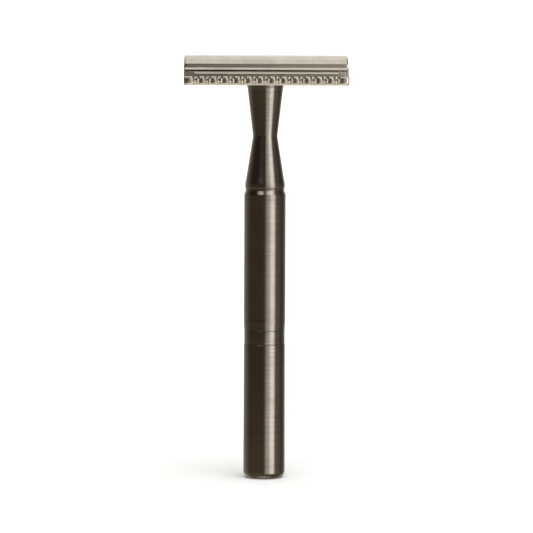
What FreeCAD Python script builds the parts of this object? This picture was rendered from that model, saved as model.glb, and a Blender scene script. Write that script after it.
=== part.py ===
import FreeCAD, Part
import math
import os

# Three-piece double-edge safety razor, in millimetres.
# Z is up along the handle, X runs along the cutting edges and the front faces -Y.
# The origin is the centre of the handle's bottom face.

Vector = FreeCAD.Vector

# ---- Head: its heights are above this level, a little below the seat on the neck ----
HEAD_Z = 104.0
BOSS_BOTTOM = 0.25             # the seat, where the base plate meets the neck

BLADE_LENGTH = 43.0
BLADE_WIDTH = 22.0
BLADE_THICKNESS = 0.1
BLADE_EDGE_LENGTH = 37.4
BLADE_TAB_WIDTH = 13.0
BLADE_SLOT_LENGTH = 34.0
BLADE_SLOT_WIDTH = 2.2
BLADE_CENTRE_HOLE_RADIUS = 2.9
BLADE_POST_HOLE_RADIUS = 1.9
BLADE_CORNER_ROUND = 0.3
BLADE_TAB_ROUND = 1.0
ARCH_RADIUS = 21.5             # middle of the clamped, bent blade
ARCH_TOP = 6.16
ARCH_CENTRE = ARCH_TOP - ARCH_RADIUS
CLAMP_GAP = 0.03               # on each side of the blade

CAP_LENGTH = 42.85
CAP_TOP = 8.31
CAP_CROWN_RISE = 0.235         # from the ridge up to where the side slopes would meet
CAP_SHOULDER_Y = 7.22          # where crown and side face would meet without rounding
CAP_SHOULDER = 7.81
CAP_SHOULDER_RADIUS = 3.4
CAP_WALL_Y = 8.85              # upright step between side face and lip
CAP_STEP_TOP = 5.97
CAP_STEP_ROUND = 0.08
LIP_TOP = 4.98                 # at the wall; from there the lip slopes down to its nose
LIP_FRONT_Y = 9.4
LIP_NOSE_TOP = 4.48
LIP_BOTTOM = 4.37
LIP_ROUND = 0.05
CAP_END_ROUND = 0.35
CAP_PLAN_ROUND = 0.6

PLATE_LENGTH = 43.0
PLATE_BOTTOM = 0.4
PLATE_END_ROUND = 0.5          # seen from the front, at both lower corners
PLATE_CORNER_ROUND = 0.6
PLATE_BOTTOM_ROUND = 0.1
GUARD_LIP_ROUND = 0.15
GUARD_INNER_ROUND = 0.3
CHANNEL_ROUND = 0.4
BOSS_RADIUS = 4.9
BED_HALF_WIDTH = 9.0
CHANNEL_FLOOR = 1.5
GUARD_INNER_Y = 11.1
GUARD_FRONT_Y = 12.4
GUARD_TOP = 2.7
GUARD_ROUND = 0.6
GUARD_LIP_TOP = 0.95
END_WALL = 1.3
END_WALL_TOP = 2.38
END_WALL_OVERLAP = 0.2         # into the plate, on every side that joins it

FLUTE_COUNT = 13
FLUTE_PITCH = 3.05
FLUTE_HALF_ANGLE = 38.0
FLUTE_DEPTH_LOW = 0.95         # at the top of the lower lip
FLUTE_DEPTH_HIGH = 1.27        # at the foot of the guard's top rounding
FLUTE_HIGH = 2.1
FLUTE_SLOT_WIDTH = 0.58
FLUTE_SLOT_BOTTOM = 0.78
FLUTE_SLOT_INNER_Y = 10.6
FLUTE_MARGIN = 0.5             # how far a flute's cutter runs past the guard bar

DRAIN_COUNT = 5
DRAIN_LENGTH = 6.0
DRAIN_WIDTH = 1.4
DRAIN_PITCH = 7.6

# ---- Screw and guide posts ----
THREAD_PITCH = 0.8
STUD_CORE_RADIUS = 2.0
STUD_CREST_RADIUS = 2.46
STUD_RIDGE_FOOT_RADIUS = 1.9   # the thread's section is a trapezium from here to the crest
STUD_RIDGE_FOOT_HALF = 0.376
STUD_RIDGE_CREST_HALF = 0.053
STUD_SHANK_RADIUS = 2.45
STUD_BOTTOM = -8.5
STUD_TIP_CHAMFER = 0.6
STUD_ENVELOPE_RADIUS = 2.56
STUD_THREAD_START = -8.8
STUD_THREAD_TURNS = 16.5
STUD_SHANK_BOTTOM = 4.2
STUD_TOP = 7.2
STUD_HOLE_RADIUS = 2.75
SOCKET_RADIUS = 2.1
SOCKET_ROOT_RADIUS = 2.52
SOCKET_GROOVE_MOUTH_RADIUS = 1.95
SOCKET_GROOVE_MOUTH_HALF = 0.407
SOCKET_GROOVE_ROOT_HALF = 0.078
SOCKET_DEPTH = 10.5
SOCKET_RELIEF = 1.1
SOCKET_RELIEF_RADIUS = 2.57
SOCKET_ENTRY_RADIUS = 2.82
SOCKET_ENTRY_DEPTH = 0.7
SOCKET_THREAD_ANGLE = 90.0     # the groove starts here, in the same helix as the stud's thread
SOCKET_THREAD_START = STUD_THREAD_START + THREAD_PITCH * (SOCKET_THREAD_ANGLE / 360 - 1)
SOCKET_THREAD_TURNS = 13
POST_RADIUS = 1.5
POST_X = 13.0
POST_BOTTOM = 1.4
POST_TOP = 7.0
POST_TIP_ROUND = 0.3
POST_HOLE_RADIUS = 1.6
POST_HOLE_BOTTOM = 1.2

# ---- Handle: its heights are above the bottom face ----
NECK_TOP_RADIUS = 4.83
NECK_TOP_ROUND = 0.12
NECK_FLARE_Z = 103.65          # above this the upper cone flares a little
NECK_FLARE_RADIUS = 4.68
NECK_FLARE_ROUND = 3.0
WAIST_Z = 91.0
WAIST_RADIUS = 3.22
WAIST_ROUND = 0.4
LOWER_CONE_Z = 79.6
LOWER_CONE_RADIUS = 5.04
LOWER_CONE_ROUND = 1.5
SHOULDER_TOP_Z = 78.5
SHOULDER_TOP_ROUND = 1.0
SHOULDER_LOW_Z = 77.65
SHOULDER_LOW_ROUND = 0.35
SHOULDER_RADIUS = 5.25
GRIP_TOP_Z = 77.05
GRIP_TOP_RADIUS = 5.11
GRIP_TOP_ROUND = 0.1
GRIP_STEP_Z = 76.62            # foot of the upright part above the chamfer
GRIP_STEP_ROUND = 0.3
GRIP_CHAMFER_Z = 75.6
GRIP_CHAMFER_ROUND = 0.8
GRIP_RADIUS = 5.49
RING_GROOVE_PITCH = 0.5
RING_GROOVE_HALF = 0.13
RING_GROOVE_DEPTH = 0.05
RING_GROOVE_TOP_Z = 75.0
RING_GROOVE_LOW_Z = 42.5
TAPER_TOP_Z = 42.0
TAPER_TOP_ROUND = 1.0
TAPER_LOW_HEIGHT = 0.4         # straight part between the taper and the band
TAPER_LOW_ROUND = 0.3
TAPER_RADIUS = 5.39
BAND_TOP_Z = 39.55
BAND_LOW_Z = 35.85
BAND_RADIUS = 5.36
LOWER_GRIP_TOP_RADIUS = 5.45
LOWER_GRIP_RADIUS = 5.52
FOOT_ROUND = 1.75
END_CAP_HEIGHT = 0.7
BORE_RADIUS = 3.5
ROD_RADIUS = 2.5
ROD_BOTTOM_Z = 3.0
ROD_TOP_Z = 73.0
NECK_SPIGOT_Z = 66.0
END_SPIGOT_Z = 8.0
SEAM_ROUND = 0.12

CUT_MARGIN = 2.0               # how far a cutting shape runs past what it cuts


def rounded_outline(corners, place):
    """Face inside straight sides; a corner is (u, v) or (u, v, radius of its rounding)."""
    turns = []
    count = len(corners)
    for index, corner in enumerate(corners):
        here = Vector(corner[0], corner[1], 0)
        if len(corner) == 2:
            turns.append((here, None, here))
            continue
        radius = corner[2]
        before = corners[index - 1]
        after = corners[(index + 1) % count]
        to_before = (Vector(before[0], before[1], 0) - here).normalize()
        to_after = (Vector(after[0], after[1], 0) - here).normalize()
        half = to_before.getAngle(to_after) / 2
        reach = radius / math.tan(half)
        inward = (to_before + to_after).normalize()
        middle = here + inward * (radius / math.sin(half) - radius)
        turns.append((here + to_before * reach, middle, here + to_after * reach))
    edges = []
    for index, (start, middle, end) in enumerate(turns):
        if middle:
            edges.append(Part.Arc(place(start), place(middle), place(end)).toShape())
        following = turns[(index + 1) % count][0]
        if (following - end).Length > 1e-6:
            edges.append(Part.makeLine(place(end), place(following)))
    return Part.Face(Part.Wire(edges))


def turned(corners):
    """Solid of revolution about Z from corners given as (radius, height)."""
    face = rounded_outline(corners, lambda p: Vector(p.x, 0, p.y))
    return face.revolve(Vector(0, 0, 0), Vector(0, 0, 1), 360)


def along_x(half_corners, length):
    """Bar along X, from the right half of its section given as (y, height) corners.

    The left half mirrors it. A corner on the middle line is shared by both halves.
    """
    mirrored = [(-corner[0],) + corner[1:] for corner in half_corners if corner[0]]
    corners = half_corners + mirrored[::-1]
    face = rounded_outline(corners, lambda p: Vector(-length / 2, p.x, p.y))
    return face.extrude(Vector(length, 0, 0))


def round_along_x(radius, length):
    """Cylinder along X, on the centre line of the blade's arch."""
    start = Vector(-length / 2, 0, ARCH_CENTRE)
    return Part.makeCylinder(radius, length, start, Vector(1, 0, 0))


def plan_block(length, width, corner_radius, bottom, top):
    """Upright block whose plan has rounded corners."""
    x = length / 2
    y = width / 2
    plan = [(x, y), (-x, y), (-x, -y), (x, -y)]
    corners = [corner + (corner_radius,) for corner in plan]
    face = rounded_outline(corners, lambda p: Vector(p.x, p.y, bottom))
    return face.extrude(Vector(0, 0, top - bottom))


def plan_slot(length, width, bottom, top, centre_x=0, centre_y=0):
    """Upright block along X with fully round ends."""
    reach = (length - width) / 2
    corner = Vector(centre_x - reach, centre_y - width / 2, bottom)
    slot = Part.makeBox(2 * reach, width, top - bottom, corner)
    for x in (centre_x - reach, centre_x + reach):
        end = Part.makeCylinder(width / 2, top - bottom, Vector(x, centre_y, bottom))
        slot = slot.fuse(end)
    return slot.removeSplitter()


def upright(radius, bottom, top, x=0):
    """Cylinder along Z."""
    return Part.makeCylinder(radius, top - bottom, Vector(x, 0, bottom))


def helical_ridge(start, turns, inner, outer, inner_half, outer_half):
    """Thread form swept round Z: a trapezium from the inner to the outer radius."""
    helix = Part.makeHelix(THREAD_PITCH, THREAD_PITCH * turns, (inner + outer) / 2)
    corners = [
        Vector(inner, 0, -inner_half),
        Vector(outer, 0, -outer_half),
        Vector(outer, 0, outer_half),
        Vector(inner, 0, inner_half),
    ]
    section = Part.makePolygon(corners + corners[:1])
    ridge = Part.Wire(helix.Edges).makePipeShell([section], True, True)
    return ridge.translated(Vector(0, 0, start))


def at_head(shape):
    """Lift a part from the head's own heights to its place."""
    return shape.translated(Vector(0, 0, HEAD_Z))


# ---- Head ----

def make_top_cap():
    """Crowned cap with a thin rounded lip along both edges and a hollow for the blade."""
    slope = math.atan((CAP_TOP + CAP_CROWN_RISE - CAP_SHOULDER) / CAP_SHOULDER_Y)
    crown_radius = CAP_CROWN_RISE / (1 / math.cos(slope) - 1)
    section = [
        (0, LIP_BOTTOM),
        (LIP_FRONT_Y, LIP_BOTTOM, LIP_ROUND),
        (LIP_FRONT_Y, LIP_NOSE_TOP, LIP_ROUND),
        (CAP_WALL_Y, LIP_TOP),
        (CAP_WALL_Y, CAP_STEP_TOP, CAP_STEP_ROUND),
        (CAP_SHOULDER_Y, CAP_SHOULDER, CAP_SHOULDER_RADIUS),
        (0, CAP_TOP + CAP_CROWN_RISE, crown_radius),
    ]
    cap = along_x(section, CAP_LENGTH)
    end_edges = [
        edge
        for edge in cap.Edges
        if abs(abs(edge.BoundBox.XMin) - CAP_LENGTH / 2) < 1e-6
        and edge.BoundBox.XLength < 1e-6
        and edge.BoundBox.ZMin > CAP_STEP_TOP + CAP_STEP_ROUND / 2
    ]
    cap = cap.makeFillet(CAP_END_ROUND, end_edges)
    plan = plan_block(CAP_LENGTH, 2 * LIP_FRONT_Y, CAP_PLAN_ROUND, 0, CAP_TOP + 1)
    cap = cap.common(plan)
    hollow_radius = ARCH_RADIUS + BLADE_THICKNESS / 2 + CLAMP_GAP
    cap = cap.cut(round_along_x(hollow_radius, CAP_LENGTH + CUT_MARGIN))
    cap = cap.cut(upright(STUD_SHANK_RADIUS, 0, STUD_TOP))
    for x in (-POST_X, POST_X):
        cap = cap.cut(upright(POST_RADIUS, 0, POST_TOP, x))
    return at_head(cap)


def make_cap_stud():
    """Screw fixed in the cap, with a right-hand thread below its plain shank."""
    core = upright(STUD_CORE_RADIUS, STUD_BOTTOM, STUD_TOP)
    ridge = helical_ridge(
        STUD_THREAD_START,
        STUD_THREAD_TURNS,
        STUD_RIDGE_FOOT_RADIUS,
        STUD_CREST_RADIUS,
        STUD_RIDGE_FOOT_HALF,
        STUD_RIDGE_CREST_HALF,
    )
    stud = core.fuse(ridge)
    tip = Part.makeCone(
        STUD_ENVELOPE_RADIUS - STUD_TIP_CHAMFER,
        STUD_ENVELOPE_RADIUS,
        STUD_TIP_CHAMFER,
        Vector(0, 0, STUD_BOTTOM),
    )
    body = upright(STUD_ENVELOPE_RADIUS, STUD_BOTTOM + STUD_TIP_CHAMFER, STUD_TOP)
    envelope = tip.fuse(body)
    stud = stud.common(envelope)
    stud = stud.fuse(upright(STUD_SHANK_RADIUS, STUD_SHANK_BOTTOM, STUD_TOP))
    return at_head(stud)


def make_guide_posts():
    """Two round posts in the cap that line up blade and base plate."""
    posts = []
    for x in (-POST_X, POST_X):
        post = upright(POST_RADIUS, POST_BOTTOM, POST_TOP, x)
        lower_edge = [edge for edge in post.Edges if edge.BoundBox.ZMax < POST_BOTTOM + 1e-3]
        posts.append(at_head(post.makeFillet(POST_TIP_ROUND, lower_edge)))
    return Part.makeCompound(posts)


def make_razor_blade():
    """Double-edge blade, bent over the base plate's bed."""
    strip = round_along_x(ARCH_RADIUS + BLADE_THICKNESS / 2, BLADE_LENGTH)
    strip = strip.cut(
        round_along_x(ARCH_RADIUS - BLADE_THICKNESS / 2, BLADE_LENGTH + CUT_MARGIN)
    )
    half_width = ARCH_RADIUS * math.sin(BLADE_WIDTH / 2 / ARCH_RADIUS)
    plan = plan_block(BLADE_EDGE_LENGTH, 2 * half_width, BLADE_CORNER_ROUND, 0, ARCH_TOP + 1)
    tabs = plan_block(BLADE_LENGTH, BLADE_TAB_WIDTH, BLADE_TAB_ROUND, 0, ARCH_TOP + 1)
    opening = plan_slot(BLADE_SLOT_LENGTH, BLADE_SLOT_WIDTH, 0, ARCH_TOP + 1)
    opening = opening.fuse(upright(BLADE_CENTRE_HOLE_RADIUS, 0, ARCH_TOP + 1))
    for x in (-POST_X, POST_X):
        opening = opening.fuse(upright(BLADE_POST_HOLE_RADIUS, 0, ARCH_TOP + 1, x))
    return at_head(strip.common(plan.fuse(tabs)).cut(opening))


def flute_cutter(x):
    """V flute that leans inwards as it rises, opening into a narrow slot through the bar."""
    slope = (FLUTE_DEPTH_HIGH - FLUTE_DEPTH_LOW) / (FLUTE_HIGH - GUARD_LIP_TOP)
    spread = math.tan(math.radians(FLUTE_HALF_ANGLE))
    front = -GUARD_FRONT_Y - FLUTE_MARGIN
    sections = []
    for height in (GUARD_LIP_TOP, GUARD_TOP + FLUTE_MARGIN):
        depth = FLUTE_DEPTH_LOW + slope * (height - GUARD_LIP_TOP)
        half = (depth + FLUTE_MARGIN) * spread
        corners = [
            Vector(x - half, front, height),
            Vector(x + half, front, height),
            Vector(x, -GUARD_FRONT_Y + depth, height),
        ]
        sections.append(Part.makePolygon(corners + corners[:1]))
    flute = Part.makeLoft(sections, True, True)
    slot = Part.makeBox(
        FLUTE_SLOT_WIDTH,
        -FLUTE_SLOT_INNER_Y - front,
        FLUTE_HIGH - FLUTE_SLOT_BOTTOM,
        Vector(x - FLUTE_SLOT_WIDTH / 2, front, FLUTE_SLOT_BOTTOM),
    )
    return flute.fuse(slot)


def end_rounding_block():
    """Bar along Y, as long as the plate, with both lower corners rounded."""
    x = PLATE_LENGTH / 2
    corners = [
        (x, PLATE_BOTTOM, PLATE_END_ROUND),
        (x, ARCH_TOP + 1),
        (-x, ARCH_TOP + 1),
        (-x, PLATE_BOTTOM, PLATE_END_ROUND),
    ]
    front = -GUARD_FRONT_Y - CUT_MARGIN
    face = rounded_outline(corners, lambda p: Vector(p.x, front, p.y))
    return face.extrude(Vector(0, -2 * front, 0))


def make_base_plate():
    """Plate with the blade's bed, lather channels with drains, and two fluted guard bars."""
    section = [
        (GUARD_FRONT_Y - GUARD_LIP_TOP + PLATE_BOTTOM, PLATE_BOTTOM, PLATE_BOTTOM_ROUND),
        (GUARD_FRONT_Y, GUARD_LIP_TOP, GUARD_LIP_ROUND),
        (GUARD_FRONT_Y, GUARD_TOP, GUARD_ROUND),
        (GUARD_INNER_Y, GUARD_TOP, GUARD_INNER_ROUND),
        (GUARD_INNER_Y, CHANNEL_FLOOR, CHANNEL_ROUND),
        (BED_HALF_WIDTH, CHANNEL_FLOOR, CHANNEL_ROUND),
        (BED_HALF_WIDTH, ARCH_TOP + 1),
    ]
    plate = along_x(section, PLATE_LENGTH)
    bed_radius = ARCH_RADIUS - BLADE_THICKNESS / 2 - CLAMP_GAP
    bed = round_along_x(bed_radius, PLATE_LENGTH)
    low_block = Part.makeBox(
        PLATE_LENGTH, 2 * GUARD_FRONT_Y, GUARD_TOP, Vector(-PLATE_LENGTH / 2, -GUARD_FRONT_Y, 0)
    )
    plate = plate.common(bed.fuse(low_block))
    wall_width = GUARD_INNER_Y - BED_HALF_WIDTH + 2 * END_WALL_OVERLAP
    wall_bottom = PLATE_BOTTOM + END_WALL_OVERLAP
    for side in (-1, 1):
        y = side * (BED_HALF_WIDTH + GUARD_INNER_Y) / 2
        for end in (-1, 1):
            x = end * (PLATE_LENGTH - END_WALL) / 2
            corner = Vector(x - END_WALL / 2, y - wall_width / 2, wall_bottom)
            wall = Part.makeBox(END_WALL, wall_width, END_WALL_TOP - wall_bottom, corner)
            plate = plate.fuse(wall)
        for index in range(DRAIN_COUNT):
            x = (index - (DRAIN_COUNT - 1) / 2) * DRAIN_PITCH
            drain = plan_slot(DRAIN_LENGTH, DRAIN_WIDTH, 0, CHANNEL_FLOOR + CUT_MARGIN, x, y)
            plate = plate.cut(drain)
    outline = plan_block(
        PLATE_LENGTH, 2 * GUARD_FRONT_Y, PLATE_CORNER_ROUND, 0, ARCH_TOP + 1
    )
    plate = plate.common(outline).common(end_rounding_block())
    flutes = []
    for index in range(FLUTE_COUNT):
        x = (index - (FLUTE_COUNT - 1) / 2) * FLUTE_PITCH
        flute = flute_cutter(x)
        flutes.append(flute)
        flutes.append(flute.rotated(Vector(0, 0, 0), Vector(0, 0, 1), 180))
    plate = plate.cut(flutes)
    plate = plate.fuse(upright(BOSS_RADIUS, BOSS_BOTTOM, wall_bottom))
    plate = plate.cut(upright(STUD_HOLE_RADIUS, -1, ARCH_TOP + 1))
    for x in (-POST_X, POST_X):
        plate = plate.cut(upright(POST_HOLE_RADIUS, POST_HOLE_BOTTOM, ARCH_TOP + 1, x))
    return at_head(plate.removeSplitter())


# ---- Handle ----

def make_neck():
    """Waisted neck: two cones back to back, threaded for the stud, on a spigot."""
    top = HEAD_Z + BOSS_BOTTOM
    neck = turned(
        [
            (0, NECK_SPIGOT_Z),
            (BORE_RADIUS, NECK_SPIGOT_Z),
            (BORE_RADIUS, GRIP_TOP_Z),
            (GRIP_TOP_RADIUS, GRIP_TOP_Z),
            (SHOULDER_RADIUS, SHOULDER_LOW_Z, SHOULDER_LOW_ROUND),
            (SHOULDER_RADIUS, SHOULDER_TOP_Z, SHOULDER_TOP_ROUND),
            (LOWER_CONE_RADIUS, LOWER_CONE_Z, LOWER_CONE_ROUND),
            (WAIST_RADIUS, WAIST_Z, WAIST_ROUND),
            (NECK_FLARE_RADIUS, NECK_FLARE_Z, NECK_FLARE_ROUND),
            (NECK_TOP_RADIUS, top, NECK_TOP_ROUND),
            (0, top),
        ]
    )
    bottom = HEAD_Z - SOCKET_DEPTH
    neck = neck.cut(upright(SOCKET_RADIUS, bottom, top + CUT_MARGIN))
    groove = helical_ridge(
        SOCKET_THREAD_START,
        SOCKET_THREAD_TURNS,
        SOCKET_GROOVE_MOUTH_RADIUS,
        SOCKET_ROOT_RADIUS,
        SOCKET_GROOVE_MOUTH_HALF,
        SOCKET_GROOVE_ROOT_HALF,
    )
    groove = groove.rotated(Vector(0, 0, 0), Vector(0, 0, 1), SOCKET_THREAD_ANGLE)
    neck = neck.cut(at_head(groove))
    neck = neck.cut(upright(SOCKET_RELIEF_RADIUS, bottom, bottom + SOCKET_RELIEF))
    entry = Part.makeCone(
        SOCKET_RADIUS,
        SOCKET_ENTRY_RADIUS,
        SOCKET_ENTRY_DEPTH,
        Vector(0, 0, top - SOCKET_ENTRY_DEPTH),
    )
    neck = neck.cut(entry)
    return neck.cut(upright(ROD_RADIUS, NECK_SPIGOT_Z - 1, ROD_TOP_Z))


def make_upper_grip():
    """Sleeve with fine turned grooves, tapering to the band below."""
    corners = [
        (BORE_RADIUS, GRIP_TOP_Z),
        (BORE_RADIUS, BAND_TOP_Z),
        (TAPER_RADIUS, BAND_TOP_Z, SEAM_ROUND),
        (TAPER_RADIUS, BAND_TOP_Z + TAPER_LOW_HEIGHT, TAPER_LOW_ROUND),
        (GRIP_RADIUS, TAPER_TOP_Z, TAPER_TOP_ROUND),
    ]
    count = round((RING_GROOVE_TOP_Z - RING_GROOVE_LOW_Z) / RING_GROOVE_PITCH)
    for index in range(count):
        z = RING_GROOVE_LOW_Z + (index + 0.5) * RING_GROOVE_PITCH
        corners.append((GRIP_RADIUS, z - RING_GROOVE_HALF))
        corners.append((GRIP_RADIUS - RING_GROOVE_DEPTH, z))
        corners.append((GRIP_RADIUS, z + RING_GROOVE_HALF))
    corners.append((GRIP_RADIUS, GRIP_CHAMFER_Z, GRIP_CHAMFER_ROUND))
    corners.append((GRIP_TOP_RADIUS, GRIP_STEP_Z, GRIP_STEP_ROUND))
    corners.append((GRIP_TOP_RADIUS, GRIP_TOP_Z, GRIP_TOP_ROUND))
    return turned(corners)


def make_band_ring():
    """Smooth ring between the two grips."""
    return turned(
        [
            (BORE_RADIUS, BAND_LOW_Z),
            (BAND_RADIUS, BAND_LOW_Z, SEAM_ROUND),
            (BAND_RADIUS, BAND_TOP_Z, SEAM_ROUND),
            (BORE_RADIUS, BAND_TOP_Z),
        ]
    )


def make_foot():
    """Outer shape of the lower grip and the end cap together."""
    return turned(
        [
            (0, 0),
            (LOWER_GRIP_RADIUS, 0, FOOT_ROUND),
            (LOWER_GRIP_TOP_RADIUS, BAND_LOW_Z, SEAM_ROUND),
            (0, BAND_LOW_Z),
        ]
    )


def make_lower_grip():
    """Smooth sleeve below the band."""
    slice_block = upright(LOWER_GRIP_RADIUS + 1, END_CAP_HEIGHT, BAND_LOW_Z)
    grip = make_foot().common(slice_block)
    return grip.cut(upright(BORE_RADIUS, END_CAP_HEIGHT, BAND_LOW_Z))


def make_end_cap():
    """Rounded foot with a spigot that screws onto the rod."""
    foot = make_foot().common(upright(LOWER_GRIP_RADIUS + 1, 0, END_CAP_HEIGHT))
    foot = foot.fuse(upright(BORE_RADIUS, END_CAP_HEIGHT / 2, END_SPIGOT_Z))
    return foot.cut(upright(ROD_RADIUS, ROD_BOTTOM_Z, END_SPIGOT_Z))


def make_core_rod():
    """Steel rod that draws neck and end cap together through the sleeves."""
    return upright(ROD_RADIUS, ROD_BOTTOM_Z, ROD_TOP_Z)


PARTS = {
    "top_cap": make_top_cap,
    "cap_stud": make_cap_stud,
    "guide_posts": make_guide_posts,
    "razor_blade": make_razor_blade,
    "base_plate": make_base_plate,
    "neck": make_neck,
    "upper_grip": make_upper_grip,
    "band_ring": make_band_ring,
    "lower_grip": make_lower_grip,
    "end_cap": make_end_cap,
    "core_rod": make_core_rod,
}

os.makedirs("parts", exist_ok=True)
for node, make in PARTS.items():
    shape = make()
    shape.exportStep(f"parts/{node}.step")
    print(node, shape.isValid(), len(shape.Solids), round(shape.Volume, 2))
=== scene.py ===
import math

import bmesh
import bpy
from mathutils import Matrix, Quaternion, Vector


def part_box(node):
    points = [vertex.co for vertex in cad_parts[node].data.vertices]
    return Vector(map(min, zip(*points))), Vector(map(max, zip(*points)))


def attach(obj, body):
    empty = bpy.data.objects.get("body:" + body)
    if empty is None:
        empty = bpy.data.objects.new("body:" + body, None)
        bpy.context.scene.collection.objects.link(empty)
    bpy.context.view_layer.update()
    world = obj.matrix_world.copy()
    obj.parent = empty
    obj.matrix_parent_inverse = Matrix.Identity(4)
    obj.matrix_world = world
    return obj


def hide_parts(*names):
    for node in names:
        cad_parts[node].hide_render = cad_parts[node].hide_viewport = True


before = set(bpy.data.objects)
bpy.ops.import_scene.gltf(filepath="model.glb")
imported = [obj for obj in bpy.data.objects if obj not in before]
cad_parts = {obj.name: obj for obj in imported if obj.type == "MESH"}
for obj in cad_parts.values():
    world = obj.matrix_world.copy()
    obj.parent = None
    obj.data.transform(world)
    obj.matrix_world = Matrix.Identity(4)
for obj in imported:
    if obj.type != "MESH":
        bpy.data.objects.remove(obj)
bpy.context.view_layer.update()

# A double-edge safety razor standing on its foot, in nickel and gunmetal.
# Shapes are drawn in millimetres in the CAD frame and brought to metres at the end.
MM = 0.001
SAME_POINT = 1e-4                  # points closer than this become one
ON_AXIS = 1e-6                     # radii below this lie on a lathe's axis
STEP_ANGLE = math.radians(11)      # largest turn between neighbouring points of a round corner
SHARP_ANGLE = math.radians(34)     # edges that turn more than this are shaded sharp
BEVEL_ANGLE = math.radians(32)     # edges that turn more than this are broken by a bevel
TURNED_SEGMENTS = 160
HOLE_SEGMENTS = 96
PIN_SEGMENTS = 64


def box_mm(node):
    """Lowest and highest corner of a CAD node, in millimetres."""
    low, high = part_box(node)
    return low / MM, high / MM


# ---------------------------------------------------------------- meshes

def rounded(corners, closed=True):
    """Points of an outline. A corner is (u, v) or (u, v, radius of its rounding)."""
    points = []
    count = len(corners)
    for index, corner in enumerate(corners):
        here = Vector(corner[:2])
        is_end = not closed and index in (0, count - 1)
        if len(corner) == 2 or is_end:
            points.append(here)
            continue
        radius = corner[2]
        to_before = (Vector(corners[index - 1][:2]) - here).normalized()
        to_after = (Vector(corners[(index + 1) % count][:2]) - here).normalized()
        half = to_before.angle(to_after) / 2
        centre = here + (to_before + to_after).normalized() * (radius / math.sin(half))
        start = here + to_before * (radius / math.tan(half)) - centre
        turn = math.copysign(math.pi - 2 * half, to_after.cross(to_before))
        steps = max(2, math.ceil(abs(turn) / STEP_ANGLE))
        for step in range(steps + 1):
            angle = turn * step / steps
            c, s = math.cos(angle), math.sin(angle)
            points.append(centre + Vector((start.x * c - start.y * s, start.x * s + start.y * c)))
    return points


def lathe(outline, closed, segments=TURNED_SEGMENTS, centre_x=0.0):
    """Surface of revolution about a vertical axis, from (radius, z) points.

    An open outline starts and ends on the axis. A closed one has a bore.
    """
    bm = bmesh.new()
    rings = []
    for point in outline:
        if point.x < ON_AXIS:
            rings.append([bm.verts.new((centre_x, 0, point.y))])
            continue
        ring = []
        for index in range(segments):
            angle = 2 * math.pi * index / segments
            x = centre_x + point.x * math.cos(angle)
            ring.append(bm.verts.new((x, point.x * math.sin(angle), point.y)))
        rings.append(ring)
    pairs = list(zip(rings, rings[1:]))
    if closed:
        pairs.append((rings[-1], rings[0]))
    for lower, upper in pairs:
        for index in range(segments):
            following = (index + 1) % segments
            if len(lower) == 1:
                bm.faces.new((lower[0], upper[following], upper[index]))
            elif len(upper) == 1:
                bm.faces.new((lower[index], lower[following], upper[0]))
            else:
                bm.faces.new((lower[index], lower[following], upper[following], upper[index]))
    return bm


def piece(name, bm, body, nodes, material):
    """Make an object from a millimetre mesh, smooth it and hang it on its CAD body."""
    bmesh.ops.remove_doubles(bm, verts=bm.verts, dist=SAME_POINT)
    bmesh.ops.recalc_face_normals(bm, faces=bm.faces)
    bmesh.ops.scale(bm, vec=(MM, MM, MM), verts=bm.verts)
    mesh = bpy.data.meshes.new(name)
    bm.to_mesh(mesh)
    bm.free()
    mesh.shade_smooth()
    mesh.set_sharp_from_angle(angle=SHARP_ANGLE)
    obj = bpy.data.objects.new(name, mesh)
    bpy.context.scene.collection.objects.link(obj)
    mesh.materials.append(material)
    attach(obj, body)
    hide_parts(*nodes)
    return obj


def loft(rings):
    """Closed skin over rings with equal numbers of points, with flat ends."""
    bm = bmesh.new()
    made = [[bm.verts.new(point) for point in ring] for ring in rings]
    for lower, upper in zip(made, made[1:]):
        for index in range(len(lower)):
            following = (index + 1) % len(lower)
            bm.faces.new((lower[index], lower[following], upper[following], upper[index]))
    bm.faces.new(made[0][::-1])
    bm.faces.new(made[-1])
    return bm


def prism(plan, bottom, top):
    """Upright block over a plan outline."""
    return loft([[(point.x, point.y, z) for point in plan] for z in (bottom, top)])


def cylinder(radius, bottom, top, x=0.0):
    """Upright round block that cuts a hole."""
    outline = [Vector(point) for point in ((0, bottom), (radius, bottom), (radius, top), (0, top))]
    return lathe(outline, closed=False, segments=HOLE_SEGMENTS, centre_x=x)


def gathered(meshes):
    """One bmesh from several. The several are freed."""
    whole = bmesh.new()
    for bm in meshes:
        spare = bpy.data.meshes.new("spare")
        bm.to_mesh(spare)
        bm.free()
        whole.from_mesh(spare)
        bpy.data.meshes.remove(spare)
    return whole


def draft(bm):
    """Temporary object for modifiers, still in millimetres."""
    bmesh.ops.remove_doubles(bm, verts=bm.verts, dist=SAME_POINT)
    bmesh.ops.recalc_face_normals(bm, faces=bm.faces)
    mesh = bpy.data.meshes.new("draft")
    bm.to_mesh(mesh)
    bm.free()
    obj = bpy.data.objects.new("draft", mesh)
    bpy.context.scene.collection.objects.link(obj)
    return obj


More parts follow.
